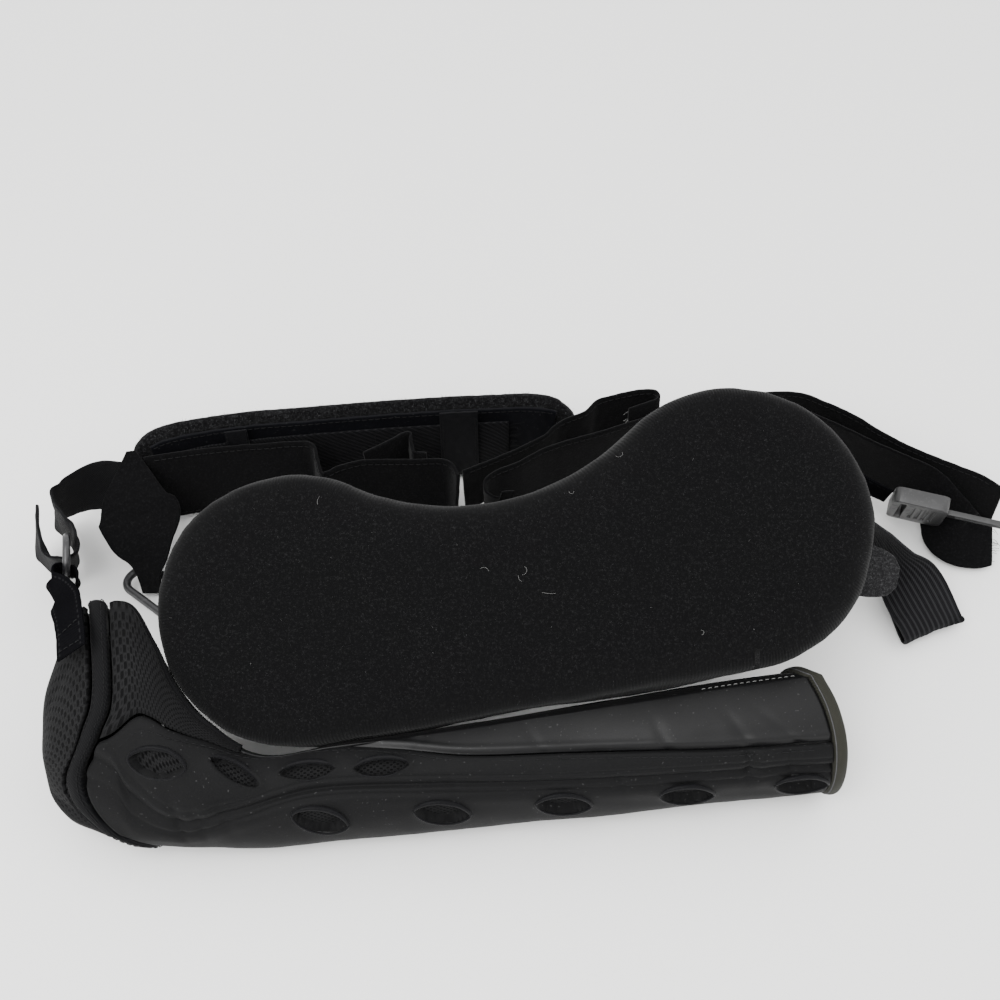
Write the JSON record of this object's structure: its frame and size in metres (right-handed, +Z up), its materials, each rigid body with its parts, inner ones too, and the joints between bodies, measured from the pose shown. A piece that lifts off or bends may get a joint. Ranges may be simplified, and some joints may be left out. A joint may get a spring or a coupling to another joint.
{
  "type": "arm sling",
  "caption": "Arm sling laid flat: a forearm sleeve with an elbow cup, a kidney-shaped pillow resting on it, and a padded shoulder strap and waist belt lying behind",
  "frame": {"origin": "middle of the bounding box's underside, on the surface the sling lies on", "axes": "+X along the sleeve from the elbow to the cuff side, +Y away from the viewer towards the straps, +Z up"},
  "size_m": [0.5294, 0.2682, 0.1423],
  "materials": {
    "foam": "foam-backed synthetic, matt with a faint speckle",
    "neoprene": "smooth laminated cloth with a soft sheen",
    "mesh": "spacer mesh, open cells",
    "binding": "folded stretch binding, satin",
    "pillow": "brushed knit with grey fuzz",
    "loop": "napped loop-faced laminate",
    "webbing": "woven webbing and satin ribbon, slight sheen",
    "padding": "brushed fleece over foam",
    "facing": "smooth blue-black lining",
    "plastic": "moulded, glossy with rounded edges"
  },
  "bodies": {
    "root": {"sleeve_foam_shell": "foam", "sleeve_mesh_lining": "mesh", "sleeve_front_panel": "neoprene", "elbow_mesh_panel": "mesh", "elbow_rim_binding": "binding", "sleeve_back_panel": "neoprene", "elbow_end_mesh": "mesh", "elbow_binding": "binding", "cuff_binding": "binding", "pillow": "pillow", "pillow_side_tab": "loop", "shoulder_pad": "padding", "shoulder_pad_facing": "facing", "shoulder_strap": "webbing", "pad_keeper_left": "webbing", "pad_keeper_middle": "webbing", "elbow_tab": "webbing", "belt_end": "loop", "belt_middle": "loop", "belt_loop": "loop", "belt_crossing": "loop", "belt_long": "loop", "belt_return": "loop", "elastic_strap": "webbing", "buckle_loop": "webbing", "strap_ring": "plastic", "belt_ring": "plastic", "buckle": "plastic", "buckle_bar": "plastic"}
  },
  "joints": []
}
